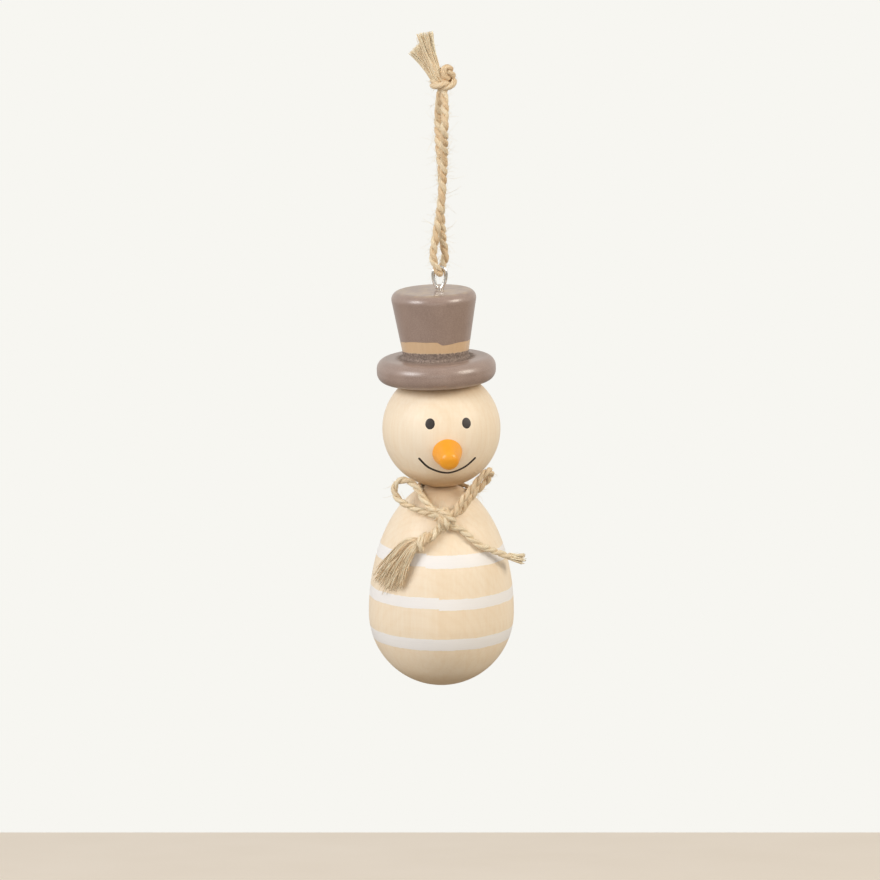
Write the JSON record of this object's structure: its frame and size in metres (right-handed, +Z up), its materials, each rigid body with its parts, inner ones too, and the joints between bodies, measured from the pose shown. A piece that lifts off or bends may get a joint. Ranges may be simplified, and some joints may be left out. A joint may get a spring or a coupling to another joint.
{
  "type": "hanging snowman ornament",
  "caption": "Turned wooden snowman on a knotted twine loop: egg-shaped striped body, ball head with a peg nose, taupe top hat with a wire eye, and a twine bow at the neck.",
  "frame": {"origin": "axis of the twig or peg that the loop hangs on, in the middle of the loop's opening", "axes": "+Z up along the hanging line, +X along the twig towards the viewer's right, -Y towards the viewer, where the face looks"},
  "size_m": [0.0411, 0.0414, 0.1794],
  "materials": {
    "pale_wood": "sanded satin, visible grain",
    "dowel_wood": "plain sanded",
    "hat_paint": "satin taupe paint over wood",
    "nose_paint": "glossy orange paint over wood",
    "bright_wire": "bright nickel plated",
    "jute_twine": "twisted jute, hairy and matt"
  },
  "bodies": {
    "loop": {"hanging_loop": "jute_twine"},
    "eye": {"screw_eye": "bright_wire"},
    "figure": {"egg_body": "pale_wood", "neck_dowel": "dowel_wood", "head_ball": "pale_wood", "nose": "nose_paint", "hat_dowel": "dowel_wood", "hat_brim": "hat_paint", "hat_crown": "hat_paint"},
    "bow": {"neck_cord": "jute_twine"}
  },
  "joints": [
    {"name": "eye_swing", "type": "hinge", "parent": "loop", "child": "eye", "pos_m": [-0.0005, 0, -0.04074], "axis": [0, 1, 0], "range_deg": [-60, 60]},
    {"name": "figure_turn", "type": "hinge", "parent": "eye", "child": "figure", "pos_m": [0, 0, -0.0491], "axis": [0, 0, 1], "range_deg": [-180, 180]},
    {"name": "bow_turn", "type": "hinge", "parent": "figure", "child": "bow", "pos_m": [0, 0, -0.101], "axis": [0, 0, 1], "continuous": true}
  ]
}
